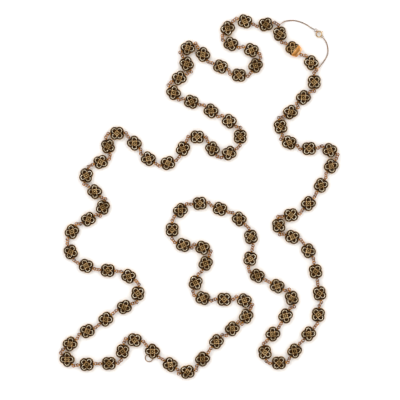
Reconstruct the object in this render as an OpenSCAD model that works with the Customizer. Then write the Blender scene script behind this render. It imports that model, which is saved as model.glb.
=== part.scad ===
// Sautoir necklace: a closed loop of black enamel quatrefoil links, laid out on a surface.
// Each link ends in two flat soldered eyes, and a round wire ring threads each facing pair.
// A box clasp closes the loop, a fine safety chain with a bolt ring bridges it,
// and a plain ring for a pendant hangs from the link opposite.
// Millimetres, +Z up, origin under the middle of the laid-out loop.

/* [Link body] */
// Radius of each of the four lobes
lobe_r = 3.45; // [3.35:0.05:3.5]
// Distance of a lobe's centre from the link's middle, measured along the chain
lobe_along = 1.65; // [1.55:0.05:1.65]
// The same, measured across the chain
lobe_across = 1.3; // [1.2:0.05:1.35]
// Height of the gold case
case_h = 1.75; // [1.7:0.05:2]
// Height of the enamel above the case
enamel_h = 0.25; // [0.15:0.05:0.35]
// Width of the gold edge left round the enamel
bezel_w = 0.12; // [0.08:0.02:0.16]

/* [Gold lines on the enamel] */
// Height of the lines above the enamel
line_h = 0.12; // [0.08:0.02:0.2]
// Width of a petal line
line_w = 0.4; // [0.3:0.05:0.5]
// Radius of a petal, to the middle of its line
petal_r = 1.55; // [1.5:0.05:1.6]
// Distance of a petal's centre from the link's two middle lines
petal_offset = 1.88; // [1.84:0.02:1.9]
// Outer radius of the rosette in the middle
rosette_r = 1.45; // [1.4:0.05:1.5]
// Inner radius of the rosette's ring
rosette_hole_r = 1.2; // [1.15:0.05:1.2]
// Radius of the round boss at the very middle
boss_r = 0.4; // [0.3:0.05:0.5]

/* [Eyes and connecting rings] */
// Distance from a link's middle to the middle of its eye
eye_reach = 6.5; // [6.4:0.05:6.6]
// Outer radius of an eye
eye_r = 1.25; // [1.22:0.01:1.28]
// Radius of the hole in an eye
eye_hole_r = 0.72; // [0.71:0.01:0.74]
// Thickness of an eye
eye_t = 0.5; // [0.45:0.05:0.5]
// Height of the eyes above the surface that the necklace lies on
eye_z = 1.42; // [1.4:0.01:1.5]
// Width of the bar that joins an eye to its link
neck_w = 1.6; // [1.4:0.1:1.8]
// Distance between the middles of two facing eyes
ring_span = 3; // [2.98:0.01:3.02]
// Radius of a connecting ring, to the middle of its wire
ring_r = 1.35; // [1.33:0.01:1.36]
// Diameter of the connecting rings' wire
ring_wire = 0.45; // [0.42:0.01:0.46]
// Lean of a connecting ring from upright
ring_lean = 36; // [34:1:37]

/* [Clasp] */
// Height of the clasp's box and cover
clasp_h = 2.9; // [2.7:0.05:3.2]
// Where the plain cover begins, measured from the middle of the quatrefoil
cover_from = 2; // [1.8:0.1:2.2]
// Where the plain cover ends
cover_to = 6; // [5.8:0.1:6.1]
// Width of the plain cover beside the box
cover_w = 9.2; // [9:0.1:9.4]
// Width of the plain cover at its far end
cover_end_w = 7.8; // [7.4:0.1:8.2]
// Width of the tongue inside the box
tongue_w = 4.4; // [4:0.1:4.8]
// Thickness of the tongue
tongue_t = 0.7; // [0.6:0.05:0.8]
// Free space round the tongue in its slot
tongue_gap = 0.15; // [0.12:0.01:0.2]

/* [Safety chain and bolt ring] */
// Width of the safety chain
safety_w = 0.9; // [0.8:0.05:1]
// Radius of the rings at the safety chain's two ends, to the middle of the wire
end_ring_r = 1; // [0.95:0.05:1.05]
// Diameter of the wire of the safety chain's small rings
small_wire = 0.34; // [0.3:0.02:0.36]
// Radius of the bolt ring, to the middle of its tube
bolt_r = 2.05; // [2:0.05:2.1]
// Diameter of the bolt ring's tube
bolt_tube = 0.9; // [0.86:0.02:0.94]
// Diameter of the sliding bolt inside the tube
bolt_wire = 0.5; // [0.46:0.02:0.52]
// Free space all round the sliding bolt
bolt_gap = 0.07; // [0.06:0.01:0.09]
// Height of the bolt ring's middle above the surface
bolt_z = 0.95; // [0.9:0.05:1]

/* [Hanging ring] */
// Radius of the hanging ring, to the middle of its wire
hang_r = 2.78; // [2.6:0.02:2.9]
// Diameter of the hanging ring's wire
hang_wire = 0.55; // [0.5:0.05:0.6]
// Distance of the ring's middle from the middle of its link
hang_reach = 5.7; // [5.6:0.05:5.8]

/* [Hidden] */

gold = "#d8ad62";
rose_gold = "#c99a72";
pale_gold = "#dcc58e";
enamel = "#241a12";

link_count = 96;
clasp_link = 0;
middle_link = 48;

// The bends of the laid-out chain, counted from the clasp down the right-hand side.
// Columns: number of the link that lies at the bend, x and y of its middle.
BEND_LINK = 0;
bends = [
    // clasp and the outward bight at the upper right
    [0, 68, 106], [1, 81, 96], [2, 83, 82], [5, 59, 50], [6, 65, 39], [7, 79, 34], [8, 95, 33],
    [9, 95, 22],
    // right-hand side down to the lower right corner
    [11, 79, -5], [13, 58, -21], [15, 79, -39], [18, 86, -85], [21, 58, -120], [22, 47, -112],
    // the inner bight, up to its top and down again
    [25, 67, -73], [27, 42, -57], [28, 37, -45], [29, 38, -29], [30, 29, -16], [32, 1, -5],
    [33, -13, -10], [34, -19, -24],
    [35, -11, -35], [36, 3, -37], [37, 5, -48], [38, -2, -62], [39, 3, -73], [41, 33, -75],
    [42, 34, -86], [44, 13, -104], [46, -8, -126],
    // the bottom, past the link with the hanging ring, to the lower left corner
    [48, -33, -111], [49, -46, -103], [51, -64, -120], [53, -95, -117], [54, -92, -106],
    // left-hand side up to the shoulder
    [58, -43, -70], [59, -50, -57], [61, -81, -50], [62, -92, -40], [63, -91, -25], [65, -69, -8],
    [67, -81, 15], [68, -70, 25], [70, -59, 45], [71, -46, 38], [72, -36, 27], [73, -22, 24],
    [75, -1, 43], [76, 10, 34], [77, 22, 31], [78, 30, 43], [79, 22, 54],
    // the two folds at the top, back to the clasp
    [81, -5, 68], [82, -18, 75], [84, -8, 95], [85, -8, 107], [88, 29, 87], [89, 41, 94],
    [90, 38, 105], [91, 23, 110], [92, 21, 120], [93, 33, 126], [94, 49, 123], [95, 58, 117]
];

// The clasp is longer on the side of its cover.
clasp_out_reach = 7.7;
// How deep an eye's neck runs into its link.
neck_sink = 0.8;
// Links that touch are kept this far apart, and an eye this far from the next link's middle.
body_gap = 2 * (lobe_r + norm([lobe_along, lobe_across])) + 0.3;
eye_gap = body_gap / 2 + eye_r + 0.1;
// How far the rule below lets the chain settle from its bends.
settle_steps = 100;
settle_hold = 0.5;
// Two links nearer than this push their ring out to the outside of the bend, fully so when 2 mm nearer.
slack_span = 14;
slack_full = 2;

function next_link(i) = (i + 1) % link_count;
function previous_link(i) = (i + link_count - 1) % link_count;
function unit(v) = v / norm(v);
function across(v) = [-v[1], v[0]];
function polar(r, a) = r * [cos(a), sin(a)];
function out_reach(i) = i == clasp_link ? clasp_out_reach : eye_reach;

// A row of the table, also past its two ends, where the loop closes.
function bend_row(k) =
    k < 0 ? bends[k + len(bends)] - [link_count, 0, 0] :
    k >= len(bends) ? bends[k - len(bends)] + [link_count, 0, 0] :
    bends[k];
function bend_xy(k) = let (row = bend_row(k)) [row[1], row[2]];
function bend_slope(k) =
    (bend_xy(k + 1) - bend_xy(k - 1)) / (bend_row(k + 1)[BEND_LINK] - bend_row(k - 1)[BEND_LINK]);

// Smooth cubic curve through the bends, read at each link's number.
function on_curve(i) =
    let (
        k = max([for (j = [0 : len(bends) - 1]) if (bends[j][BEND_LINK] <= i) j]),
        span = bend_row(k + 1)[BEND_LINK] - bend_row(k)[BEND_LINK],
        u = (i - bend_row(k)[BEND_LINK]) / span
    )
    (2 * u^3 - 3 * u^2 + 1) * bend_xy(k) + (u^3 - 2 * u^2 + u) * span * bend_slope(k)
    + (3 * u^2 - 2 * u^3) * bend_xy(k + 1) + (u^3 - u^2) * span * bend_slope(k + 1);

curve = [for (i = [0 : link_count - 1]) on_curve(i)];

// Where the ring before link i starts: half way between the links, or outside the bend if they crowd.
half_pitch = eye_reach + ring_span / 2;
function first_ring_xy(i) =
    let (
        back = previous_link(i),
        step = curve[i] - curve[back],
        before = unit(curve[back] - curve[previous_link(back)]),
        after = unit(curve[next_link(i)] - curve[i]),
        turn = before[0] * after[1] - before[1] * after[0],
        rise = sqrt(max(0, half_pitch^2 - (norm(step) / 2)^2)),
        share = min(1, max(0, (slack_span - norm(step)) / slack_full))
    )
    (curve[i] + curve[back]) / 2 - sign(turn) * rise * share * across(unit(step));

// A laid link is [middle, direction from its first eye to its second].
first_lay = [for (i = [0 : link_count - 1])
    [curve[i], unit(first_ring_xy(next_link(i)) - first_ring_xy(i))]];

// Half of what is missing between p and q, along the line from q to p.
function shove(p, q, least) = let (d = norm(p - q)) 0.5 * max(0, least - d) / d * (p - q);

// One pass: rings pull facing eyes to their span, crowded pieces push apart,
// each link stays rigid, and its middle is drawn back to the curve.
function settle_once(lay, hold) =
    let (
        last = link_count - 1,
        first_eye = [for (i = [0 : last]) lay[i][0] - eye_reach * lay[i][1]],
        second_eye = [for (i = [0 : last]) lay[i][0] + out_reach(i) * lay[i][1]],
        pull = [for (i = [0 : last])
            let (gap = first_eye[next_link(i)] - second_eye[i], d = norm(gap))
            0.5 * (d - ring_span) / d * gap],
        push_second = [for (i = [0 : last]) shove(second_eye[i], lay[next_link(i)][0], eye_gap)],
        push_first = [for (i = [0 : last]) shove(first_eye[next_link(i)], lay[i][0], eye_gap)],
        push_body = [for (i = [0 : last]) shove(lay[i][0], lay[next_link(i)][0], body_gap)]
    )
    [for (i = [0 : last])
        let (
            back = previous_link(i),
            a = first_eye[i] - pull[back] + push_first[back],
            b = second_eye[i] + pull[i] + push_second[i],
            body = push_body[i] - push_body[back] - push_first[i] - push_second[back],
            share = eye_reach / (eye_reach + out_reach(i)),
            free = a * (1 - share) + b * share + 0.5 * body
        )
        [free + hold * (curve[i] - free), unit(b - a)]];

function settle(lay, step) =
    step == settle_steps ? lay :
    settle(settle_once(lay, settle_hold * (1 - step / settle_steps)), step + 1);

settled = settle(first_lay, 0);

// The lobes and eyes reach furthest, so their extent gives the middle of the whole.
function lobe_xy(link, sx, sy) = link[0] + sx * lobe_along * link[1] + sy * lobe_across * across(link[1]);
extent_lobes = [for (link = settled, sx = [-1, 1], sy = [-1, 1]) lobe_xy(link, sx, sy)];
extent_eyes = [for (i = [0 : link_count - 1], s = [-1, 1])
    settled[i][0] + (s < 0 ? -eye_reach : out_reach(i)) * settled[i][1]];
function lowest(points, k) = min([for (p = points) p[k]]);
function highest(points, k) = max([for (p = points) p[k]]);
function low(k) = min(lowest(extent_lobes, k) - lobe_r, lowest(extent_eyes, k) - eye_r);
function high(k) = max(highest(extent_lobes, k) + lobe_r, highest(extent_eyes, k) + eye_r);
centre = [(low(0) + high(0)) / 2, (low(1) + high(1)) / 2];

function link_xy(i) = settled[i][0] - centre;
function link_dir(i) = settled[i][1];
function link_angle(i) = atan2(link_dir(i)[1], link_dir(i)[0]);
function first_eye_xy(i) = link_xy(i) - eye_reach * link_dir(i);
function second_eye_xy(i) = link_xy(i) + out_reach(i) * link_dir(i);

// The ring before link i threads the second eye of the link behind and the first eye of link i.
function ring_xy(i) = (second_eye_xy(previous_link(i)) + first_eye_xy(i)) / 2;
function ring_dir(i) = first_eye_xy(i) - second_eye_xy(previous_link(i));
function ring_angle(i) = atan2(ring_dir(i)[1], ring_dir(i)[0]);

// The end rings of the safety chain thread an eye each, on the side away from its connecting ring,
// and point outwards from the bend.
left_anchor = 95;
right_anchor = 1;
end_ring_shift = 0.37;
end_ring_tilt = 5;
left_side = polar(1, 30);
right_side = polar(1, 45);
left_eye = first_eye_xy(left_anchor) + end_ring_shift * unit(ring_dir(left_anchor));
right_eye = second_eye_xy(right_anchor) - end_ring_shift * unit(ring_dir(right_anchor + 1));

// The bolt ring's place, and the angles round it, counted from +X.
bolt_xy = [86.5, 116.5] - centre;
gap_from = 110;
gap_to = 150;
gap_mid = (gap_from + gap_to) / 2;
trigger_at = 36;
trigger_travel = 46;
slot_margin = 10;
bolt_tail_at = -20;
bolt_tip_at = 155;
bore_from = bolt_tail_at - trigger_travel - 9;
bore_past_gap = 162;
bore_overrun = 2;
// The soldered loop, sunk a little into the tube, and the trigger on its pin.
loop_at = -38;
loop_r = 0.7;
loop_wire = 0.45;
loop_reach = bolt_r + bolt_tube / 2 + 0.5;
trigger_r = 0.22;
trigger_reach = 2.95;
trigger_ball_r = 0.36;
slot_half = 0.3;
// The ring on the bolt, and the flat one that hangs in it; the chain meets the flat one at chain_at.
entry_ring_r = 0.8;
entry_ring_reach = bolt_r + 0.25;
entry_ring_lean = 30;
jump_ring_r = 1.05;
jump_ring_reach = entry_ring_reach + 0.3 + jump_ring_r;
jump_chain_at = 152;
loop_chain_at = -52;

// Routes of the safety chain's two halves: points chosen by eye, x, y and height.
// The ends reach the rings, and the middle lies on the surface.
rest_z = safety_w / 2;
chain_gap = 0.16;
eye_end_z = 1.2;
function lift(p, z) = [p[0], p[1], z];
left_route = concat(
    [lift(left_eye + (2 * end_ring_r + small_wire / 2 + chain_gap) * left_side, eye_end_z)],
    [for (p = [[62, 125.7, 0.6]]) p - lift(centre, 0)],
    [for (p = [[64.5, 126.2], [67, 126.4], [69.5, 126.2], [72, 125.7], [74.5, 124.8], [77, 123.6]])
        lift(p - centre, rest_z)],
    [for (p = [[79, 122.4, 0.5], [81, 121, 0.7]]) p - lift(centre, 0)],
    [lift(bolt_xy + polar(jump_ring_reach, gap_mid)
        + polar(jump_ring_r + small_wire / 2 + chain_gap, jump_chain_at), bolt_z)]
);
right_route = concat(
    [lift(bolt_xy + polar(loop_reach, loop_at)
        + polar(loop_r + loop_wire / 2 + chain_gap, loop_chain_at), bolt_z)],
    [for (p = [[91, 112, 0.6]]) p - lift(centre, 0)],
    [for (p = [[92.2, 109.5], [92.8, 107], [93, 104.5], [92.6, 102], [91.6, 99.6], [90.3, 97.5]])
        lift(p - centre, rest_z)],
    [for (p = [[89, 95.6, 0.6]]) p - lift(centre, 0)],
    [lift(right_eye + (2 * end_ring_r + small_wire / 2 + chain_gap) * right_side, eye_end_z)]
);

tube_sides = 8;

// A torus lying flat round the origin.
module wire_ring(r, wire) {
    rotate_extrude($fn = 48) translate([r, 0]) circle(d = wire, $fn = 24);
}

// Part of such a torus, counted in degrees from +X.
module wire_arc(r, wire, from, to) {
    rotate(from) rotate_extrude(angle = to - from, $fn = 48) translate([r, 0]) circle(d = wire, $fn = 24);
}

// The four-lobed outline, drawn in by inset.
module quatrefoil(inset) {
    for (sx = [-1, 1], sy = [-1, 1])
        translate([sx * lobe_along, sy * lobe_across]) circle(r = lobe_r - inset, $fn = 64);
}

// Raised gold lines: four round petals, and a ring and boss where they meet.
module gold_lines() {
    difference() {
        union() {
            for (sx = [-1, 1], sy = [-1, 1])
                translate([sx * petal_offset, sy * petal_offset]) difference() {
                    circle(r = petal_r + line_w / 2, $fn = 48);
                    circle(r = petal_r - line_w / 2, $fn = 48);
                }
            circle(r = rosette_r, $fn = 48);
        }
        circle(r = rosette_hole_r, $fn = 48);
    }
    circle(r = boss_r, $fn = 32);
}

// A flat eye and its neck, reaching in to the link's case.
module eye(reach) {
    neck_from = lobe_along + lobe_r - neck_sink;
    translate([0, 0, eye_z - eye_t / 2]) linear_extrude(eye_t) difference() {
        union() {
            translate([reach, 0]) circle(r = eye_r, $fn = 48);
            translate([neck_from, -neck_w / 2]) square([reach - neck_from, neck_w]);
        }
        translate([reach, 0]) circle(r = eye_hole_r, $fn = 48);
    }
}

// Gold case with the enamel and its gold lines on top.
module link_face(h) {
    linear_extrude(h) quatrefoil(0);
    translate([0, 0, h / 2]) linear_extrude(h / 2 + enamel_h) quatrefoil(bezel_w);
    translate([0, 0, h]) linear_extrude(enamel_h + line_h) gold_lines();
}

module link_solid() {
    link_face(case_h);
    eye(eye_reach);
    rotate(180) eye(eye_reach);
}

module place_link(i) {
    translate(lift(link_xy(i), 0)) rotate(link_angle(i)) children();
}

// A connecting ring, leaning to one side and the next one to the other.
module connecting_ring(i) {
    lean = i % 2 == 0 ? ring_lean : -ring_lean;
    translate(lift(ring_xy(i), eye_z)) rotate(ring_angle(i)) rotate([90 + lean, 0, 0])
        wire_ring(ring_r, ring_wire);
}

// The hanging ring's place under its link, sloping down to the surface.
hang_angle = 105;
hang_z = 0.78;
hang_rise = 0.02;
hang_tunnel = hang_wire + 0.4;
hang_slope = asin((hang_z - hang_wire / 2 - hang_rise) / (2 * hang_r + hang_wire));
module place_hanging_ring() {
    place_link(middle_link) rotate(hang_angle) translate([hang_reach - hang_r, 0, hang_z])
        rotate([0, hang_slope, 0]) translate([hang_r, 0, 0]) children();
}

module chain_right() color(enamel) {
    for (i = [clasp_link + 1 : middle_link - 1]) place_link(i) link_solid();
    color(rose_gold) for (i = [clasp_link + 1 : middle_link]) connecting_ring(i);
}

module chain_left() color(enamel) {
    difference() {
        place_link(middle_link) link_solid();
        place_hanging_ring() wire_ring(hang_r, hang_tunnel);
    }
    for (i = [middle_link + 1 : link_count - 1]) place_link(i) link_solid();
    color(rose_gold) for (i = [middle_link + 1 : link_count - 1]) connecting_ring(i);
    color(rose_gold) connecting_ring(clasp_link);
}

module hanging_ring() color(gold) place_hanging_ring() wire_ring(hang_r, hang_wire);

// Box clasp: the quatrefoil box, open at its cover's side for the tongue.
tongue_z = eye_z;
tongue_in = 2.3;
slot_in = 2.6;
box_end = cover_from - 0.1;
cover_corner = 0.3;
cover_end_corner = 1.8;
module clasp_box() color(enamel) place_link(clasp_link) {
    case = clasp_h - enamel_h - line_h;
    difference() {
        union() {
            intersection() {
                link_face(case);
                translate([-2 * lobe_r, -2 * lobe_r, -1])
                    cube([2 * lobe_r + box_end, 4 * lobe_r, clasp_h + 2]);
            }
            rotate(180) eye(eye_reach);
        }
        translate([-slot_in, -tongue_w / 2 - tongue_gap, tongue_z - tongue_t / 2 - tongue_gap])
            cube([slot_in + box_end + 1, tongue_w + 2 * tongue_gap, tongue_t + 2 * tongue_gap]);
    }
}

// Plain cover with the tongue on one side and the second eye on the other.
module clasp_tongue() color(gold) place_link(clasp_link) {
    linear_extrude(clasp_h) hull() for (y = [-1, 1]) {
        translate([cover_from + cover_corner, y * (cover_w / 2 - cover_corner)])
            circle(r = cover_corner, $fn = 32);
        translate([cover_to - cover_end_corner, y * (cover_end_w / 2 - cover_end_corner)])
            circle(r = cover_end_corner, $fn = 48);
    }
    translate([-tongue_in, -tongue_w / 2, tongue_z - tongue_t / 2])
        cube([tongue_in + cover_from + 1, tongue_w, tongue_t]);
    eye(clasp_out_reach);
}

// An end ring through an eye: it stands across the eye and tilts along the link.
module end_ring(eye_xy, side, tilt) {
    translate(lift(eye_xy + end_ring_r * side, eye_z)) rotate(atan2(side[1], side[0]))
        rotate([90 + tilt, 0, 0]) wire_ring(end_ring_r, small_wire);
}
module safety_end_ring_left() color(rose_gold) end_ring(left_eye, left_side, end_ring_tilt);
module safety_end_ring_right() color(pale_gold) end_ring(right_eye, right_side, -end_ring_tilt);

// Tube along a route: an eight-sided section at each point, square to the way it runs there.
function route_way(route, k) =
    unit(route[min(k + 1, len(route) - 1)] - route[max(k - 1, 0)]);
function route_section(route, k) =
    let (way = route_way(route, k), side = unit([-way[1], way[0], 0]), up = cross(way, side))
    [for (j = [0 : tube_sides - 1])
        let (a = (j + 0.5) * 360 / tube_sides)
        route[k] + safety_w / 2 * (cos(a) * side + sin(a) * up)];
module route_tube(route) {
    last = len(route) - 1;
    points = [for (k = [0 : last]) each route_section(route, k)];
    polyhedron(points, concat(
        [[for (j = [tube_sides - 1 : -1 : 0]) j]],
        [[for (j = [0 : tube_sides - 1]) last * tube_sides + j]],
        [for (k = [0 : last - 1], j = [0 : tube_sides - 1])
            let (a = k * tube_sides + j, b = k * tube_sides + (j + 1) % tube_sides)
            each [[a, b, b + tube_sides], [a, b + tube_sides, a + tube_sides]]]
    ));
}
module safety_chain_left() color(rose_gold) route_tube(left_route);
module safety_chain_right() color(rose_gold) route_tube(right_route);

module place_on_bolt(r, a) {
    translate(lift(bolt_xy, bolt_z)) rotate(a) translate([r, 0, 0]) children();
}
// The ring that the bolt passes through, and the ring between it and the safety chain.
module bolt_entry_ring() color(rose_gold)
    place_on_bolt(entry_ring_reach, gap_mid) rotate([90 + entry_ring_lean, 0, 0])
        wire_ring(entry_ring_r, small_wire);
module bolt_jump_ring() color(rose_gold)
    place_on_bolt(jump_ring_reach, gap_mid) wire_ring(jump_ring_r, small_wire);

// Bolt ring: a tube with a gap, bored for the bolt and slotted outside for its trigger.
module bolt_ring() color(pale_gold) translate(lift(bolt_xy, bolt_z)) difference() {
    union() {
        wire_arc(bolt_r, bolt_tube, gap_to, gap_from + 360);
        rotate(loop_at) translate([loop_reach, 0, 0]) wire_ring(loop_r, loop_wire);
    }
    wire_arc(bolt_r, bolt_wire + 2 * bolt_gap, bore_from, gap_from + bore_overrun);
    wire_arc(bolt_r, bolt_wire + 2 * bolt_gap, gap_to - bore_overrun, bore_past_gap);
    rotate(trigger_at - trigger_travel - slot_margin)
        rotate_extrude(angle = trigger_travel + 2 * slot_margin, $fn = 48)
            translate([bolt_r, -slot_half]) square([bolt_tube, 2 * slot_half]);
}

// The sliding bolt with its trigger.
module bolt_ring_latch() color(gold) translate(lift(bolt_xy, bolt_z)) {
    wire_arc(bolt_r, bolt_wire, bolt_tail_at, bolt_tip_at);
    rotate(trigger_at) translate([bolt_r, 0, 0]) rotate([0, 90, 0])
        cylinder(r = trigger_r, h = trigger_reach - bolt_r, $fn = 24);
    rotate(trigger_at) translate([trigger_reach, 0, 0]) sphere(r = trigger_ball_r, $fn = 24);
}

chain_right();
chain_left();
clasp_box();
clasp_tongue();
hanging_ring();
safety_chain_left();
safety_chain_right();
safety_end_ring_left();
safety_end_ring_right();
bolt_jump_ring();
bolt_entry_ring();
bolt_ring();
bolt_ring_latch();
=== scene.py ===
"""Sautoir necklace of black enamel quatrefoil links, dressed over its CAD frame.

The places of links and rings are read from the frame's own solids. Each shape is worked out in its own
coordinates, in millimetres, as whole numpy arrays, then copied to its places and turned to metres.
"""

import math

import bpy
import numpy as np
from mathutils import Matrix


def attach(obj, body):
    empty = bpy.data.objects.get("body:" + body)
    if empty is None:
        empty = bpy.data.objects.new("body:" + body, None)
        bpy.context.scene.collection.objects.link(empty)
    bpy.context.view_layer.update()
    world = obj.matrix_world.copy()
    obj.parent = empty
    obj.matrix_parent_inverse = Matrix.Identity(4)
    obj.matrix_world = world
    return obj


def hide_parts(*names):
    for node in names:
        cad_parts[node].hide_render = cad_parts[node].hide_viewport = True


MM = 0.001
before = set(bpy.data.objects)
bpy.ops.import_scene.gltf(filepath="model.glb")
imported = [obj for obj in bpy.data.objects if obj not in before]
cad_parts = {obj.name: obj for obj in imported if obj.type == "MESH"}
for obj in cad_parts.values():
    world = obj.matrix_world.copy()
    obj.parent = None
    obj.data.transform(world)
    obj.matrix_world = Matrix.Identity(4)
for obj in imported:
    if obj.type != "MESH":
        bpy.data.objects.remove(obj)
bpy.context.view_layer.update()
BODY = "necklace"

# Camera: the photograph looks straight down on a field of 287.5 mm.
FIELD = 287.5
FIELD_MIDDLE = (0.55, -2.51)
CAMERA_HEIGHT = 1500.0
SENSOR = 36.0
FURTHEST_SEEN = 10000.0

# Link: outline of four lobes, and the heights of its gold case, enamel and raised lines.
LOBE_R = 3.45
LOBE_ALONG = 1.65
LOBE_ACROSS = 1.3
CASE_TOP = 1.75
ENAMEL_TOP = 2.0
LINE_LOW = 1.95
LINE_TOP = 2.12
LINE_WIDTH = 0.4

# Petals, one in each quarter. Their line is this share of the line width at its sides, and gains or
# loses up to the second share towards the far and the near side.
PETAL_R = 1.55
PETAL_OFFSET = 1.88
PETAL_POINTS = 20
PETAL_WIDTH = 0.85
PETAL_WIDENING = 0.3
# Angle past which a petal's line takes the pale gold of a painted highlight.
PALE_HIGHLIGHT_FROM = math.radians(75)
QUARTERS = [(1, 1), (-1, 1), (-1, -1), (1, -1)]

# Rosette in the middle with its dish and boss, and the beads round it.
ROSETTE_R = 1.36
ROSETTE_LINE = 0.24
ROSETTE_POINTS = 32
DISH_MARGIN = 0.05
DISH_SIDES = 24
BOSS_R = 0.38
BOSS_RISE = 0.06
AXIS_BEAD_REACH = 1.84
AXIS_BEAD_R = 0.22
TIP_BEAD_REACH = 1.52
TIP_BEAD_R = 0.28
BEAD_RISE = 0.03

# Soldered eyes, and their necks: half width by the link and by the washer with the waist between,
# half height at both ends, and how far the neck reaches into the link and short of the washer's middle.
EYE_REACH = 6.5
EYE_Z = 1.42
EYE_R = 1.25
EYE_HOLE_R = 0.66
EYE_POINTS = 24
NECK_HALF_WIDTHS = (1.15, 0.75)
NECK_WAIST = 0.2
NECK_HALF_HEIGHTS = (0.34, 0.24)
NECK_INSIDE = 1.1
NECK_SHORT = 0.85
NECK_STEPS = (0.0, 0.35, 0.7, 1.0)
NECK_SIDES = 8

# Clasp: the box is a link's face that ends where the cover begins. What lies above RAISED_ABOVE in a
# link stands higher by BOX_RISE, and an inset draws in the cut side by only CUT_SHARE of it.
BOX_RISE = 0.72
BOX_END = 1.9
RAISED_ABOVE = 1.0
CUT_SHARE = 0.3
BOX_RIM_INSET = 0.22
BOX_RIM_HALF = 3.9
BOX_RIM_WIDTH = 0.34
BOX_BEAD_LIMIT = 1.4
CUT_PETAL_MARGIN = 0.12
COVER_FROM = 2.0
COVER_TO = 6.0
COVER_WIDTH = 9.2
COVER_END_WIDTH = 7.8
COVER_CORNER = 0.3
COVER_END_CORNER = 1.8
COVER_HEIGHT = 2.9
COVER_NEAR_EASE = 0.3
LIP_X = COVER_TO - 0.85
LIP_HALF = 2.8
LIP_WIDTH = 0.4
LIP_FOOT = 2.7
TONGUE_FROM = -2.3
TONGUE_TO = 3.0
TONGUE_WIDTH = 4.4
TONGUE_THICKNESS = 0.7
# The cover's eye: its distance from the clasp's middle, and its outer radius in the frame.
CLASP_EYE_REACH = 7.7
FRAME_EYE_R = 1.4

# Profiles of closed skins. Columns: share that the outline is scaled by, inset that it is first drawn
# in by, and height.
CASE_ROWS = [
    (0.0, 0.0, 0.0),
    (0.94, 0.0, 0.0),
    (1.0, 0.12, 0.02),
    (1.0, 0.0, 0.16),
    (1.0, 0.0, 1.5),
    (1.0, 0.03, 1.66),
    (1.0, 0.1, CASE_TOP),
    (1.0, 0.3, CASE_TOP),
]
ENAMEL_ROWS = [
    (1.0, 0.07, 1.64),
    (1.0, 0.12, 1.73),
    (1.0, 0.25, 1.78),
    (1.0, 0.45, 1.85),
    (1.0, 0.7, 1.92),
    (1.0, 1.0, 1.97),
    (1.0, 1.4, ENAMEL_TOP),
    (0.5, 0.9, ENAMEL_TOP),
    (0.2, 0.0, ENAMEL_TOP),
    (0.0, 0.0, ENAMEL_TOP),
]
DISH_ROWS = [
    (1.0, 0.0, 2.0),
    (1.0, 0.1, 2.04),
    (0.6, 0.0, 2.015),
    (0.3, 0.0, 2.015),
    (0.0, 0.0, 2.015),
]
COVER_ROWS = [
    (0.0, 0.0, 0.0),
    (1.0, 0.15, 0.0),
    (1.0, 0.0, 0.15),
    (1.0, 0.0, 2.3),
    (1.0, 0.06, 2.5),
    (1.0, 0.2, 2.64),
    (1.0, 0.45, 2.75),
    (1.0, 0.75, 2.82),
    (0.6, 0.5, 2.88),
    (0.3, 0.3, COVER_HEIGHT),
    (0.0, 0.0, COVER_HEIGHT),
]

# Section of a raised line, edge to edge. Columns: share of the width from its middle, share of the height.
LINE_SECTION = np.array([
    (-0.5, 0.0),
    (-0.38, 0.65),
    (-0.15, 1.0),
    (0.15, 1.0),
    (0.38, 0.65),
    (0.5, 0.0),
])
# Section of an eye's washer. Columns: share of half its width from the middle, height from the middle.
WASHER_SECTION = np.array([
    (0.0, -0.25),
    (-0.73, -0.19),
    (-1.0, 0.0),
    (-0.73, 0.19),
    (0.0, 0.25),
    (0.73, 0.19),
    (1.0, 0.0),
    (0.73, -0.19),
])

# Rings: radius to the middle of the wire, and the wire's diameter.
CONNECTING_RING = (1.35, 0.45)
SMALL_RINGS = {
    "hanging_ring": (2.78, 0.55),
    "safety_end_ring_left": (1.0, 0.34),
    "safety_end_ring_right": (1.0, 0.34),
    "bolt_jump_ring": (1.05, 0.34),
    "bolt_entry_ring": (0.8, 0.34),
}
SMALL_RING_POINTS = 48
SMALL_RING_SIDES = 12

# Safety chain: curb links of fine wire, each turned the other way from the one before. The frame's
# tube has its corners nearer to each other within a section than TUBE_SECTION.
CURB_LENGTH = 0.95
CURB_WIDTH = 0.88
CURB_WIRE = 0.28
CURB_PITCH = 0.5
CURB_TURN = 35.0
CURB_POINTS = 12
CURB_SIDES = 5
END_SHARPNESS = 3.0
TUBE_SECTION = 0.95
CURVE_STEPS = 40
LOOK_AHEAD = 0.1

# A loose solid of the chain that is longer than this is a link, and a shorter one a connecting ring.
# Each link leans by up to LEAN degrees each way.
LINK_SPREAD = 9.0
LEAN = 1.4
LEAN_SEED = 7

# Finishes: where the three tones of a gold lie on its ramp, how far its gloss drifts, and how many
# finer layers each pattern has.
TONE_STOPS = (0.32, 0.5, 0.68)
GLOSS_DRIFT = 0.08
BUMP_STRENGTH = 0.5
CLOUD_LAYERS = 3.0
GRAIN_LAYERS = 4.0
WAVE_LAYERS = 2.0
ENAMEL_WAVE = 1.8
ENAMEL_DENT = 0.03
ENAMEL_STOPS = [(0.3, "#1a0d02"), (0.7, "#351d06")]
ENAMEL_ROUGHNESS = 0.1
ENAMEL_IOR = 1.45

# Stage: a white board, a white tent that is dim straight above, where the camera looks through, and
# two soft boxes. Stops of the tent run from the horizon, 0, to straight above, 1.
BOARD_HALF = 1500.0
BOARD_DROP = 0.01
BOARD_CLOUD = 1000 / 6
BOARD_STOPS = [(0.0, "#eaecf1"), (1.0, "#eef0f5")]
BOARD_ROUGHNESS = 0.9
TENT_STOPS = [
    (0.0, "#d8d4cc"),
    (0.2, "#fffcf6"),
    (0.55, "#fffcf6"),
    (0.78, "#a8a196"),
    (0.92, "#4c4539"),
    (1.0, "#322b22"),
]
TENT_STRENGTH = 2.1
SOFT_BOX_SIZE = 0.5
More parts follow.
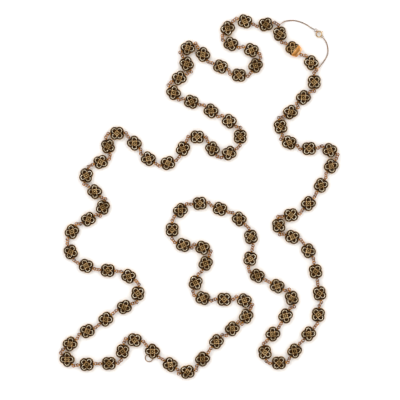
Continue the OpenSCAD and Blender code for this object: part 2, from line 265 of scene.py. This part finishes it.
# Columns: name, place in metres, power in watts.
SOFT_BOXES = [
    ("soft_box_left", (-0.8, 0.7, 1.1), 5),
    ("soft_box_right", (0.9, 0.5, 1.1), 3),
]

# The standard curve between sRGB and linear light: where its straight foot ends, and its three numbers.
FOOT_END = 0.04045
FOOT_SLOPE = 12.92
CURVE_LIFT = 0.055
CURVE_POWER = 2.4

UP = np.array([0, 0, 1.0])
MICROMETRES_IN_MM = 1000
# The least cosine that a distance is divided by, and the radius left at a bead's top.
LEAST_COSINE = 1e-6
POLE_R = 0.001


def triangles_of(mesh):
    """Corner positions of a mesh's triangles, as an array of triangle, corner, axis."""
    mesh.calc_loop_triangles()
    points = np.empty(len(mesh.vertices) * 3)
    mesh.vertices.foreach_get("co", points)
    corners = np.empty(len(mesh.loop_triangles) * 3, dtype=np.int64)
    mesh.loop_triangles.foreach_get("vertices", corners)
    return points.reshape(-1, 3)[corners].reshape(-1, 3, 3)


def whole_micrometres(points):
    """Points in millimetres as whole micrometres, so that shared corners are equal."""
    return np.round(points.reshape(-1, 3) * MICROMETRES_IN_MM).astype(np.int64)


def loose_solids(node):
    """Splits a CAD node into its loose solids. Triangles that share a corner get the lowest label
    among them, again and again until nothing changes.
    Returns one array of triangles in millimetres for each solid."""
    triangles = triangles_of(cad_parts[node].data) / MM
    corner = np.unique(whole_micrometres(triangles), axis=0, return_inverse=True)[1].reshape(-1, 3)
    label = np.arange(corner.max() + 1)
    changed = True
    while changed:
        lowest = label[corner].min(axis=1)
        new = label.copy()
        for side in range(3):
            np.minimum.at(new, corner[:, side], lowest)
        new = new[new]
        changed = bool((new != label).any())
        label = new
    solid = label[corner[:, 0]]
    return [triangles[solid == name] for name in np.unique(solid)]


def middle_and_axes(triangles):
    """Middle of a solid's surface, and its main directions from the longest to the shortest:
    the eigenvectors of the spread of its triangles, each counted by its area."""
    sides = triangles[:, 1:] - triangles[:, :1]
    area = np.linalg.norm(np.cross(sides[:, 0], sides[:, 1]), axis=1)
    centre = triangles.mean(axis=1)
    middle = (centre * area[:, None]).sum(axis=0) / area.sum()
    away = centre - middle
    spread = (away * area[:, None]).T @ away
    return middle, np.linalg.eigh(spread)[1].T[::-1]


def upright_turn(way):
    """Turn about Z that lays X along the flat part of a direction."""
    along = np.array([way[0], way[1], 0.0])
    along /= np.linalg.norm(along)
    return np.stack([along, np.cross(UP, along), UP], axis=1)


def ring_turn(axes):
    """Turn that lays a ring's two equal directions in the plane of the solid's."""
    return np.stack([axes[0], axes[1], np.cross(axes[0], axes[1])], axis=1)


def leaned(turns, most):
    """Leans each place a little about its own two flat axes, so that no two catch the light alike,
    and gives the lift that keeps the lowest edge of the four lobes on the table."""
    roll, pitch = np.radians(rng.uniform(-most, most, (2, len(turns))))
    one = np.ones(len(turns))
    none = np.zeros(len(turns))
    about_x = np.array([
        [one, none, none],
        [none, np.cos(roll), -np.sin(roll)],
        [none, np.sin(roll), np.cos(roll)],
    ])
    about_y = np.array([
        [np.cos(pitch), none, np.sin(pitch)],
        [none, one, none],
        [-np.sin(pitch), none, np.cos(pitch)],
    ])
    lean = np.einsum("ijk,jlk->kil", about_x, about_y)
    tip_x, tip_y = np.abs(np.sin(pitch)), np.abs(np.sin(roll))
    lift = LOBE_ALONG * tip_x + LOBE_ACROSS * tip_y + LOBE_R * np.hypot(tip_x, tip_y)
    return turns @ lean, lift


def centre_line(node):
    """Middle of each section of a tube's solid, from one end to the other. Corners within a section
    lie nearer to each other than two sections do, so they share the lowest number among their
    neighbours. The line starts at the middle furthest from all the others, and steps to the nearest left."""
    triangles = triangles_of(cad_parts[node].data) / MM
    corners = np.unique(whole_micrometres(triangles), axis=0) / MICROMETRES_IN_MM
    apart = np.linalg.norm(corners[:, None] - corners[None], axis=2)
    label = np.argmax(apart < TUBE_SECTION, axis=1)
    middles = np.array([corners[label == name].mean(axis=0) for name in np.unique(label)])
    order = [int(np.linalg.norm(middles - middles.mean(axis=0), axis=1).argmax())]
    while len(order) < len(middles):
        away = np.linalg.norm(middles - middles[order[-1]], axis=1)
        away[order] = np.inf
        order.append(int(away.argmin()))
    return middles[order]


def spread_along(line, pitch):
    """Evenly spaced places along a smooth curve through points, with the way it runs at each.
    The curve is a cubic through each four points; its length is summed over short steps."""
    ended = np.vstack([2 * line[0] - line[1], line, 2 * line[-1] - line[-2]])
    share = np.linspace(0, 1, CURVE_STEPS, endpoint=False)[None, :, None]
    a, b, c, d = (ended[k : len(ended) - 3 + k, None] for k in range(4))
    curve = 0.5 * (
        2 * b
        + (c - a) * share
        + (2 * a - 5 * b + 4 * c - d) * share**2
        + (3 * b - a - 3 * c + d) * share**3
    )
    curve = np.vstack([curve.reshape(-1, 3), line[-1]])
    length = np.concatenate([[0], np.cumsum(np.linalg.norm(np.diff(curve, axis=0), axis=1))])
    count = int(length[-1] / pitch)
    at = (np.arange(count) + 0.5) * length[-1] / count

    def at_length(where):
        """Points of the curve at these lengths from its start."""
        return np.stack([np.interp(where, length, curve[:, k]) for k in range(3)], axis=1)

    way = at_length(at + LOOK_AHEAD) - at_length(at - LOOK_AHEAD)
    return at_length(at), way / np.linalg.norm(way, axis=1)[:, None]


def grid_faces(rows, columns, closed=True):
    """Quads of a grid of points, row by row. Where closed, the last column meets the first."""
    last = columns if closed else columns - 1
    row, column = np.meshgrid(np.arange(rows - 1), np.arange(last), indexing="ij")
    following = (column + 1) % columns
    here = row * columns
    there = here + columns
    quads = [here + column, here + following, there + following, there + column]
    return np.stack(quads, axis=-1).reshape(-1, 4)


def joined(*parts):
    """Joins meshes given as (points, faces) into one."""
    points, faces, start = [], [], 0
    for part_points, part_faces in parts:
        points.append(part_points)
        faces.append(part_faces + start)
        start += len(part_points)
    return np.concatenate(points), np.concatenate(faces)


def copied(part, turns, places):
    """Copies a mesh to many places: each point is turned by a matrix and moved."""
    points, faces = part
    many = np.einsum("kij,nj->kni", turns, points) + places[:, None, :]
    steps = np.arange(len(places)) * len(points)
    return many.reshape(-1, 3), (faces[None] + steps[:, None, None]).reshape(-1, faces.shape[1])


def moved(part, z):
    """The same mesh higher up."""
    return part[0] + [0.0, 0.0, z], part[1]


def make_object(name, part, material):
    """Puts a mesh in millimetres into the scene in metres, riding on the necklace's body, with the given
    material."""
    points, faces = part
    mesh = bpy.data.meshes.new(name)
    mesh.from_pydata((points * MM).tolist(), [], faces.tolist())
    mesh.polygons.foreach_set("use_smooth", np.full(len(mesh.polygons), True))
    mesh.materials.append(material)
    mesh.update()
    piece = bpy.data.objects.new(name, mesh)
    bpy.context.scene.collection.objects.link(piece)
    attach(piece, BODY)
    return piece


def outline(angle, inset, cut=None):
    """Distance from the link's middle to the edge of the four lobes, each drawn in by inset:
    the far crossing of a ray with the circle of the lobe in its own quarter.
    Where cut is given, the ray also ends at that x, drawn in by only a part of the inset."""
    along, across = np.abs(np.cos(angle)), np.abs(np.sin(angle))
    near = LOBE_ALONG * along + LOBE_ACROSS * across
    off = LOBE_ALONG * across - LOBE_ACROSS * along
    edge = near + np.sqrt((LOBE_R - inset) ** 2 - off**2)
    if cut is not None:
        edge = np.minimum(edge, (cut - CUT_SHARE * inset) / np.maximum(np.cos(angle), LEAST_COSINE))
    return edge


def box_outline(angle, inset):
    """Edge of the clasp's box: a link's outline, cut where the cover begins."""
    return outline(angle, inset, BOX_END)


def dish_outline(angle, inset):
    """Edge of the rosette's dish: a plain circle a little inside the rosette's ring."""
    return ROSETTE_R - DISH_MARGIN - inset + 0 * angle


def skin(rows, edge, sides=48):
    """Closed skin over an outline. Each row is (share, inset, height): the outline drawn in by inset,
    then scaled by share, at that height. The outline is a function of angle and inset."""
    angle = np.arange(sides) * 2 * math.pi / sides
    share, inset, height = np.array(rows).T[:, :, None]
    reach = share * np.stack([edge(angle, value) for value in inset[:, 0]])
    points = np.stack([reach * np.cos(angle), reach * np.sin(angle), height + 0 * angle], axis=-1)
    return points.reshape(-1, 3), grid_faces(len(rows), sides)


def ridge(path, width, low, high, closed=True):
    """Raised line along a path on a plane: at each point the line's section runs across the path,
    from the low height at both edges up to the high one in the middle.
    The width is one number, or one for each point."""
    following = np.roll(path, -1, axis=0)
    before = np.roll(path, 1, axis=0)
    if not closed:
        following[-1] = path[-1]
        before[0] = path[0]
    way = following - before
    way /= np.linalg.norm(way, axis=1)[:, None]
    side = np.stack([-way[:, 1], way[:, 0]], axis=1)
    share, rise = LINE_SECTION.T[:, :, None]
    across = share * width * np.ones(len(path))
    height = low + rise * (high - low) + 0 * across
    points = np.concatenate([path[None] + across[:, :, None] * side[None], height[:, :, None]], axis=-1)
    return points.reshape(-1, 3), grid_faces(len(across), len(path), closed)[:, ::-1]


def bead(x, y, radius, low, high, rows=4, sides=12):
    """Low round bead: half an ellipse of revolution, from the low height up to the high one."""
    angle = np.arange(sides) * 2 * math.pi / sides
    up = np.linspace(0, math.pi / 2, rows)[:, None]
    reach = radius * np.cos(up) + POLE_R
    height = low + (high - low) * np.sin(up) + 0 * angle
    points = np.stack([x + reach * np.cos(angle), y + reach * np.sin(angle), height], axis=-1)
    return points.reshape(-1, 3), grid_faces(rows, sides)


def circle_path(x, y, radius, count, start=0.0, end=2 * math.pi, closed=True):
    """Points on a circle, or on the part of it between two angles."""
    angle = np.linspace(start, end, count, endpoint=not closed)
    return np.stack([x + radius * np.cos(angle), y + radius * np.sin(angle)], axis=1)


def closed_loop(points):
    """Mesh of a closed ring of closed sections, given as an array of section, point, axis."""
    around, sides = points.shape[:2]
    last = (around - 1) * sides
    column = np.arange(sides)
    following = (column + 1) % sides
    seam = np.stack([last + column, last + following, following, column], axis=-1)
    return points.reshape(-1, 3), np.concatenate([grid_faces(around, sides), seam])[:, ::-1]


def ring(radius, wire, around=28, sides=10, stretch=0.0):
    """Torus that lies flat: a circle of the wire carried round a larger circle.
    Where stretch is given, both ends are moved out along X by that much."""
    turn = np.arange(around)[:, None] * 2 * math.pi / around
    angle = np.arange(sides)[None] * 2 * math.pi / sides
    reach = radius + wire / 2 * np.cos(angle)
    x = reach * np.cos(turn) + stretch * np.tanh(END_SHARPNESS * np.cos(turn))
    return closed_loop(np.stack([x, reach * np.sin(turn), wire / 2 * np.sin(angle) + 0 * turn], axis=-1))


def flat_eye(reach, sign):
    """Soldered eye: a washer with rounded edges, its section carried round a circle, and a neck of
    oval sections that narrows from the link to a waist by the washer."""
    turn = np.arange(EYE_POINTS)[:, None] * 2 * math.pi / EYE_POINTS
    share, rise = WASHER_SECTION.T
    width = (EYE_R + EYE_HOLE_R) / 2 + (EYE_R - EYE_HOLE_R) / 2 * share
    x = sign * reach + width * np.cos(turn)
    washer = closed_loop(np.stack([x, width * np.sin(turn), EYE_Z + rise + 0 * turn], axis=-1))

    along = np.array(NECK_STEPS)[:, None]
    angle = (np.arange(NECK_SIDES)[None] + 0.5) * 2 * math.pi / NECK_SIDES
    start, end = LOBE_ALONG + LOBE_R - NECK_INSIDE, reach - NECK_SHORT
    by_link, by_washer = NECK_HALF_WIDTHS
    half = by_link + (by_washer - by_link - NECK_WAIST) * along + NECK_WAIST * along**2
    thick, thin = NECK_HALF_HEIGHTS
    x = sign * (start + (end - start) * along + 0 * angle)
    z = EYE_Z + (thick + (thin - thick) * along) * np.sin(angle)
    neck = np.stack([x, half * np.cos(angle), z], axis=-1).reshape(-1, 3)
    return joined(washer, (neck, grid_faces(len(along), NECK_SIDES)[:, :: -int(sign)]))


def cover_skin(rows, count=72):
    """Closed skin over the cover's outline, the tight band round two small corner circles by the box and
    two large ones at the far end. The band leaves the large circle where the direction square to it
    gives both circles the same reach. Each row is (share, inset, height)."""
    near = np.array([COVER_FROM + COVER_CORNER, COVER_WIDTH / 2 - COVER_CORNER])
    far = np.array([COVER_TO - COVER_END_CORNER, COVER_END_WIDTH / 2 - COVER_END_CORNER])
    step = far - near
    swing = math.acos((COVER_CORNER - COVER_END_CORNER) / np.linalg.norm(step)) + math.atan2(step[1], step[0])
    angle = np.linspace(-math.pi, math.pi, count, endpoint=False)
    at_far = np.abs(angle) < swing
    side = np.where(angle < 0, -1, 1)
    corner = np.where(at_far, COVER_END_CORNER, COVER_CORNER)
    x = np.where(at_far, far[0], near[0]) + corner * np.cos(angle)
    y = side * np.where(at_far, far[1], near[1]) + corner * np.sin(angle)
    middle = (COVER_FROM + COVER_TO) / 2
    share, inset, height = np.array(rows).T[:, :, None]
    inset_x = inset * np.where(x > middle, 1.0, COVER_NEAR_EASE)
    row_x = middle + (x - middle) * share * (1 - 2 * inset_x / (COVER_TO - COVER_FROM))
    row_y = y * share * (1 - 2 * inset / COVER_WIDTH)
    return np.stack([row_x, row_y, height + 0 * x], axis=-1).reshape(-1, 3), grid_faces(len(rows), count)


def block(low_x, high_x, width, thickness, z):
    """Plain block along X."""
    corners = np.array([
        [x, y, z + h]
        for x in (low_x, high_x)
        for y in (-width / 2, width / 2)
        for h in (-thickness / 2, thickness / 2)
    ])
    sides = [[0, 1, 3, 2], [4, 6, 7, 5], [0, 4, 5, 1], [2, 3, 7, 6], [0, 2, 6, 4], [1, 5, 7, 3]]
    return corners, np.array(sides)


def petal(quarter, start, end):
    """Gold line round part of a petal, between two angles counted from the link's middle side;
    it is broader on the far side."""
    sign_x, sign_y = quarter
    x, y = PETAL_OFFSET * sign_x, PETAL_OFFSET * sign_y
    inward = math.atan2(-sign_y, -sign_x)
    path = circle_path(x, y, PETAL_R, PETAL_POINTS, inward + start, inward + end, closed=False)
    away = -np.cos(np.linspace(start, end, PETAL_POINTS))
    return ridge(path, LINE_WIDTH * (PETAL_WIDTH + PETAL_WIDENING * away), LINE_LOW, LINE_TOP, closed=False)


def beads(limit=LOBE_R):
    """Gold beads where petals meet: on the two axes, and at the petals' inner tips.
    Those past a limit along X are left out."""
    quarter = math.pi / 2
    spots = [(AXIS_BEAD_REACH, AXIS_BEAD_R, k * quarter) for k in range(4)]
    spots += [(TIP_BEAD_REACH, TIP_BEAD_R, (k + 0.5) * quarter) for k in range(4)]
    return [
        bead(reach * math.cos(angle), reach * math.sin(angle), size, LINE_LOW, LINE_TOP + BEAD_RISE)
        for reach, size, angle in spots
        if reach * math.cos(angle) < limit
    ]


def new_material(name):
    """New material and its shader."""
    material = bpy.data.materials.new(name)
    material.use_nodes = True
    return material, material.node_tree.nodes["Principled BSDF"]


def linear(colour):
    """Turns an sRGB hex value into linear light: the standard curve, with its straight foot."""
    value = np.array([int(colour[k : k + 2], 16) for k in (1, 3, 5)]) / 255
    curve = ((value + CURVE_LIFT) / (1 + CURVE_LIFT)) ** CURVE_POWER
    return (*np.where(value <= FOOT_END, value / FOOT_SLOPE, curve).tolist(), 1.0)


def add_node(owner, kind, links=None, stops=(), **settings):
    """Adds a node of any kind. Settings that name an input socket set its value, others its property;
    links give, for an input socket, the node and output that feed it. Stops are those of a colour ramp,
    as (position, hex colour), the lowest first."""
    tree = owner.node_tree
    node = tree.nodes.new(kind)
    for name, value in settings.items():
        if name in node.inputs:
            node.inputs[name].default_value = value
        else:
            setattr(node, name, value)
    for name, (source, output) in (links or {}).items():
        tree.links.new(source.outputs[output], node.inputs[name])
    for number, (position, colour) in enumerate(stops):
        elements = node.color_ramp.elements
        stop = elements[number] if number < len(elements) else elements.new(position)
        stop.position = position
        stop.color = linear(colour)
    return node


def feed(owner, shader, **sources):
    """Links nodes into the shader's sockets; underscores in a socket's name stand for spaces."""
    for name, (source, output) in sources.items():
        owner.node_tree.links.new(source.outputs[output], shader.inputs[name.replace("_", " ")])


def per_metre(size):
    """Noise scale, in repeats a metre, for a pattern of this size in millimetres."""
    return 1 / (size * MM)


def worn_gold(name, tones, roughness, cloud=4.0, grain=0.9, dent=0.05):
    """Gold alloy with a worn polish: its colour drifts between three tones in clouds, its gloss varies
    with a finer grain, and dents of that grain bend the reflections. Sizes in millimetres."""
    material, shader = new_material(name)
    place = {"Vector": (add_node(material, "ShaderNodeTexCoord"), "Object")}
    drift = add_node(material, "ShaderNodeTexNoise", place, Scale=per_metre(cloud), Detail=CLOUD_LAYERS)
    fine = add_node(material, "ShaderNodeTexNoise", place, Scale=per_metre(grain), Detail=GRAIN_LAYERS)
    ramp = add_node(material, "ShaderNodeValToRGB", {"Fac": (drift, "Fac")}, list(zip(TONE_STOPS, tones)))
    limits = {"To Min": roughness - GLOSS_DRIFT, "To Max": roughness + GLOSS_DRIFT}
    gloss = add_node(material, "ShaderNodeMapRange", {"Value": (fine, "Fac")}, **limits)
    height = {"Height": (fine, "Fac")}
    bump = add_node(material, "ShaderNodeBump", height, Strength=BUMP_STRENGTH, Distance=dent * MM)
    feed(material, shader, Base_Color=(ramp, "Color"), Roughness=(gloss, "Result"), Normal=(bump, "Normal"))
    shader.inputs["Metallic"].default_value = 1.0
    return material


def vitreous_enamel(name):
    """Black glass fused on gold: a brown-black body under a glossy, slightly wavy fired skin."""
    material, shader = new_material(name)
    place = {"Vector": (add_node(material, "ShaderNodeTexCoord"), "Object")}
    wave = add_node(material, "ShaderNodeTexNoise", place, Scale=per_metre(ENAMEL_WAVE), Detail=WAVE_LAYERS)
    ramp = add_node(material, "ShaderNodeValToRGB", {"Fac": (wave, "Fac")}, ENAMEL_STOPS)
    height = {"Height": (wave, "Fac")}
    bump = add_node(material, "ShaderNodeBump", height, Strength=BUMP_STRENGTH, Distance=ENAMEL_DENT * MM)
    feed(material, shader, Base_Color=(ramp, "Color"), Normal=(bump, "Normal"))
    shader.inputs["Roughness"].default_value = ENAMEL_ROUGHNESS
    shader.inputs["IOR"].default_value = ENAMEL_IOR
    return material


# Golds of about 18 carat, by what their making and wear give the eye.
# Polished yellow gold of the cases and of the sliding bolt: warm and soft, with small scratches.
yellow_gold = worn_gold("worn_yellow_gold", ("#7d5c30", "#b08a50", "#d2ae78"), 0.3)
# The same gold in the raised lines, its tones lightened as a painted highlight for the glints they catch
# where they stand proud.
highlit_lines_gold = worn_gold("raised_yellow_gold_lines_painted_highlight", ("#96764c", "#caa674", "#eccd9e"), 0.28, grain=0.6)
# The petals' outsides and the cover's lip, painted nearly white as a painted highlight.
pale_highlight_gold = worn_gold("painted_highlight_pale_gold_lines", ("#b3a387", "#dccfb4", "#f6efe0"), 0.24, grain=0.6)
# The rosette's sunk ground: dull brown gold with tarnish where no cloth reaches, darkened further by painted
# shade for its recess.
shaded_ground_gold = worn_gold("dull_gold_ground_and_painted_shade", ("#38280f", "#54401f", "#745d36"), 0.4, grain=0.5)
# Eyes and connecting rings: a redder solder and wire, darkened all through, partly its own dark tone and
# partly painted shade for the shadow in their holes and between them.
rose_gold = worn_gold("rose_gold_darkened_by_painted_shade", ("#502802", "#86510a", "#c08024"), 0.3, cloud=2.0)
# Fine wire of the safety chain and of plain rings: a greyish rose, rubbed dull.
chain_gold = worn_gold("rubbed_rose_gold_wire", ("#5c3e28", "#846042", "#ae8a64"), 0.34, cloud=3.0)
# The bolt ring's drawn tube: paler than the wire next to it, with a higher polish.
pale_gold = worn_gold("worn_pale_gold", ("#7d6650", "#b0946e", "#dfc698"), 0.26, cloud=2.5)
# The clasp's cover: orange gold, softly polished and a little dented, with a broad, blurred gleam.
cover_gold = worn_gold("polished_orange_gold", ("#b47434", "#d89c58", "#ffdcae"), 0.46, grain=2.0, dent=0.12)
# Fired enamel on the faces: nearly black, with a warm brown depth under a hard gloss.
black_enamel = vitreous_enamel("black_vitreous_enamel")

# Places of the links and connecting rings, read from the frame's solids.
rng = np.random.default_rng(LEAN_SEED)
link_places, link_turns, link_sides, ring_places, ring_turns = [], [], [], [], []
for side in ("right", "left"):
    for solid in loose_solids(f"chain_{side}"):
        middle, axes = middle_and_axes(solid)
        if np.ptp(solid.reshape(-1, 3)[:, :2], axis=0).max() > LINK_SPREAD:
            link_places.append([middle[0], middle[1], 0.0])
            link_turns.append(upright_turn(axes[0]))
            link_sides.append(side)
        else:
            ring_places.append(middle)
            ring_turns.append(ring_turn(axes))
link_sides = np.array(link_sides)
link_places = np.array(link_places)
link_turns, lift = leaned(np.array(link_turns), LEAN)
link_places[:, 2] += lift

# The face of a link, drawn once. A petal is left open where it would cross the rosette: the angle of
# that gap is the law of cosines for the petal's radius, its distance and the rosette's radius.
PETAL_REACH = math.hypot(PETAL_OFFSET, PETAL_OFFSET)
PETAL_GAP = math.acos((PETAL_REACH**2 + PETAL_R**2 - ROSETTE_R**2) / (2 * PETAL_REACH * PETAL_R))
PETAL_SIDES = [(PETAL_GAP, PALE_HIGHLIGHT_FROM), (2 * math.pi - PALE_HIGHLIGHT_FROM, 2 * math.pi - PETAL_GAP)]
PETAL_OUTSIDE = (PALE_HIGHLIGHT_FROM, 2 * math.pi - PALE_HIGHLIGHT_FROM)
boss = bead(0, 0, BOSS_R, LINE_LOW, LINE_TOP + BOSS_RISE)
rosette_ring = ridge(circle_path(0, 0, ROSETTE_R, ROSETTE_POINTS), ROSETTE_LINE, LINE_LOW, LINE_TOP)
rosette_dish = skin(DISH_ROWS, dish_outline, DISH_SIDES)
petal_sides = [petal(quarter, *span) for quarter in QUARTERS for span in PETAL_SIDES]
inner_lines = joined(*petal_sides, *beads(), rosette_ring, boss)
# The petals' outer arcs: pale gold that carries a painted highlight.
outer_lines = joined(*[petal(quarter, *PETAL_OUTSIDE) for quarter in QUARTERS])
link_parts = {
    "link_cases": (skin(CASE_ROWS, outline), yellow_gold, "enamelled_gold"),
    "link_enamel": (skin(ENAMEL_ROWS, outline), black_enamel, "enamelled_gold"),
    "link_inner_lines": (inner_lines, highlit_lines_gold, "enamelled_gold"),
    "link_outer_lines": (outer_lines, pale_highlight_gold, "enamelled_gold"),
    # The dish takes the dull ground gold, darkened by painted shade.
    "link_rosettes": (rosette_dish, shaded_ground_gold, "enamelled_gold"),
    "link_eyes": (joined(flat_eye(EYE_REACH, 1), flat_eye(EYE_REACH, -1)), rose_gold, "rose_gold"),
}
for side in ("right", "left"):
    turns, places = link_turns[link_sides == side], link_places[link_sides == side]
    for name, (part, material, slot) in link_parts.items():
        piece = make_object(f"{name}_{side}", copied(part, turns, places), material)
        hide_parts(f"chain_{side}")
rings = copied(ring(*CONNECTING_RING), np.array(ring_turns), np.array(ring_places))
connecting = make_object("connecting_rings", rings, rose_gold)
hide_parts("chain_right", "chain_left")

# The clasp: a link's face on a taller box, cut off at the cover, and a domed cover with its tongue.
# Its X runs from the box's eye to the cover's, which are the two parts' furthest ends.
cover_solid = loose_solids("clasp_tongue")[0]
box_middle = middle_and_axes(loose_solids("clasp_box")[0])[0]
cover_middle = middle_and_axes(cover_solid)[0]
clasp_turn = upright_turn(cover_middle - box_middle)
clasp_way, clasp_side = clasp_turn[:, 0], clasp_turn[:, 1]
furthest_eye = (cover_solid.reshape(-1, 3) @ clasp_way).max()
along = furthest_eye - FRAME_EYE_R - CLASP_EYE_REACH
clasp_place = clasp_way * along + clasp_side * (cover_middle @ clasp_side)

# The two petals next to the cover end where they meet its edge.
cut_petal = math.acos((PETAL_OFFSET - BOX_END + CUT_PETAL_MARGIN) / PETAL_R)
far_end, near_end = math.pi / 4 + cut_petal, cut_petal - math.pi / 4
whole_petals = [petal((-1, sign), *span) for sign in (1, -1) for span in [*PETAL_SIDES, PETAL_OUTSIDE]]
cut_petals = [
    petal((1, 1), -far_end, -PETAL_GAP),
    petal((1, 1), PETAL_GAP, near_end),
    petal((1, -1), PETAL_GAP, far_end),
    petal((1, -1), -near_end, -PETAL_GAP),
]
rim_x = BOX_END - BOX_RIM_INSET
rim_path = np.array([[rim_x, -BOX_RIM_HALF], [rim_x, BOX_RIM_HALF]])
box_rim = ridge(rim_path, BOX_RIM_WIDTH, LINE_LOW, LINE_TOP, closed=False)
box_lines = joined(*whole_petals, *cut_petals, box_rim, *beads(BOX_BEAD_LIMIT), rosette_ring, boss)
raised_case = [
    (share, inset, height + (BOX_RISE if height > RAISED_ABOVE else 0)) for share, inset, height in CASE_ROWS
]
tongue = block(TONGUE_FROM, TONGUE_TO, TONGUE_WIDTH, TONGUE_THICKNESS, EYE_Z)
lip_path = np.array([[LIP_X, -LIP_HALF], [LIP_X, LIP_HALF]])
lip = ridge(lip_path, LIP_WIDTH, LIP_FOOT, COVER_HEIGHT, closed=False)
clasp_box_parts = {
    "clasp_case": (skin(raised_case, box_outline), yellow_gold, "enamelled_gold"),
    "clasp_enamel": (moved(skin(ENAMEL_ROWS, box_outline), BOX_RISE), black_enamel, "enamelled_gold"),
    "clasp_lines": (moved(box_lines, BOX_RISE), highlit_lines_gold, "enamelled_gold"),
    "clasp_rosette": (moved(rosette_dish, BOX_RISE), shaded_ground_gold, "enamelled_gold"),
    "clasp_box_eye": (flat_eye(EYE_REACH, -1), rose_gold, "rose_gold"),
}
clasp_tongue_parts = {
    "clasp_cover": (joined(cover_skin(COVER_ROWS), tongue), cover_gold, "yellow_gold"),
    # The cover's lip carries the pale painted highlight.
    "clasp_cover_lip": (lip, pale_highlight_gold, "yellow_gold"),
    "clasp_cover_eye": (flat_eye(CLASP_EYE_REACH, 1), rose_gold, "rose_gold"),
}
for node, parts in (("clasp_box", clasp_box_parts), ("clasp_tongue", clasp_tongue_parts)):
    for name, (part, material, slot) in parts.items():
        piece = make_object(name, copied(part, clasp_turn[None], clasp_place[None]), material)
        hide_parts(node)

# The single rings, each where its solid lies.
ring_golds = {
    "hanging_ring": (chain_gold, "yellow_gold"),
    "bolt_jump_ring": (chain_gold, "rose_gold"),
    "safety_end_ring_right": (cover_gold, "pale_gold"),
}
for node, (radius, wire) in SMALL_RINGS.items():
    middle, axes = middle_and_axes(loose_solids(node)[0])
    material, slot = ring_golds.get(node, (rose_gold, "rose_gold"))
    torus = ring(radius, wire, SMALL_RING_POINTS, SMALL_RING_SIDES)
    piece = make_object(node + "_wire", copied(torus, ring_turn(axes)[None], middle[None]), material)
    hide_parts(node)

# The safety chain's curb links, laid along the middles of the frame's two tubes.
curb_stretch = (CURB_LENGTH - CURB_WIDTH) / 2
curb_link = ring(CURB_WIDTH / 2 - CURB_WIRE / 2, CURB_WIRE, CURB_POINTS, CURB_SIDES, curb_stretch)
for side in ("left", "right"):
    places, way = spread_along(centre_line(f"safety_chain_{side}"), CURB_PITCH)
    flat = np.cross(UP, way)
    flat /= np.linalg.norm(flat, axis=1)[:, None]
    rising = np.cross(way, flat)
    turn = np.radians(CURB_TURN) * np.where(np.arange(len(places)) % 2 == 0, 1, -1)[:, None]
    tilted = np.cos(turn) * flat + np.sin(turn) * rising
    turns = np.stack([way, tilted, np.cross(way, tilted)], axis=2)
    links = copied(curb_link, turns, places)
    piece = make_object(f"safety_chain_links_{side}", links, chain_gold)
    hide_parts(f"safety_chain_{side}")

# The bolt ring and its bolt keep their CAD shapes, which are right.
for node, material in (("bolt_ring", pale_gold), ("bolt_ring_latch", yellow_gold)):
    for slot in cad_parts[node].material_slots:
        slot.material = material


def stage_floor():
    """Flat square of white board with a faint unevenness in its paint."""
    material, shader = new_material("matt_white_board")
    place = {"Vector": (add_node(material, "ShaderNodeTexCoord"), "Object")}
    cloud = add_node(material, "ShaderNodeTexNoise", place, Scale=per_metre(BOARD_CLOUD), Detail=WAVE_LAYERS)
    ramp = add_node(material, "ShaderNodeValToRGB", {"Fac": (cloud, "Fac")}, BOARD_STOPS)
    feed(material, shader, Base_Color=(ramp, "Color"))
    shader.inputs["Roughness"].default_value = BOARD_ROUGHNESS
    mesh = bpy.data.meshes.new("table")
    half, under = BOARD_HALF * MM, -BOARD_DROP * MM
    corners = [(-half, -half, under), (half, -half, under), (half, half, under), (-half, half, under)]
    mesh.from_pydata(corners, [], [(0, 1, 2, 3)])
    mesh.materials.append(material)
    table = bpy.data.objects.new("table", mesh)
    bpy.context.scene.collection.objects.link(table)


def tent_light():
    """World light that depends on height alone."""
    world = bpy.data.worlds.new("white_tent")
    world.use_nodes = True
    place = add_node(world, "ShaderNodeTexCoord")
    split = add_node(world, "ShaderNodeSeparateXYZ", {"Vector": (place, "Generated")})
    ramp = add_node(world, "ShaderNodeValToRGB", {"Fac": (split, "Z")}, TENT_STOPS)
    background = world.node_tree.nodes["Background"]
    feed(world, background, Color=(ramp, "Color"))
    background.inputs["Strength"].default_value = TENT_STRENGTH
    bpy.context.scene.world = world


def area_light(name, place, power):
    """Square soft light at a place in metres, turned towards the origin."""
    data = bpy.data.lights.new(name, "AREA")
    data.energy = power
    data.size = SOFT_BOX_SIZE
    lamp = bpy.data.objects.new(name, data)
    lamp.location = place
    x, y, z = place
    lamp.rotation_euler = (math.atan2(math.hypot(x, y), z), 0, math.atan2(y, x) + math.pi / 2)
    bpy.context.scene.collection.objects.link(lamp)


stage_floor()
tent_light()
for name, place, power in SOFT_BOXES:
    area_light(name, place, power)
# The photograph was taken on a plain white ground with an ordinary tone curve.
bpy.context.scene.view_settings.view_transform = "Standard"

camera_data = bpy.data.cameras.new("camera")
camera_data.sensor_width = SENSOR
camera_data.lens = SENSOR * CAMERA_HEIGHT / FIELD
camera_data.clip_end = FURTHEST_SEEN * MM
camera = bpy.data.objects.new("camera", camera_data)
camera.location = (FIELD_MIDDLE[0] * MM, FIELD_MIDDLE[1] * MM, CAMERA_HEIGHT * MM)
bpy.context.scene.collection.objects.link(camera)
bpy.context.scene.camera = camera
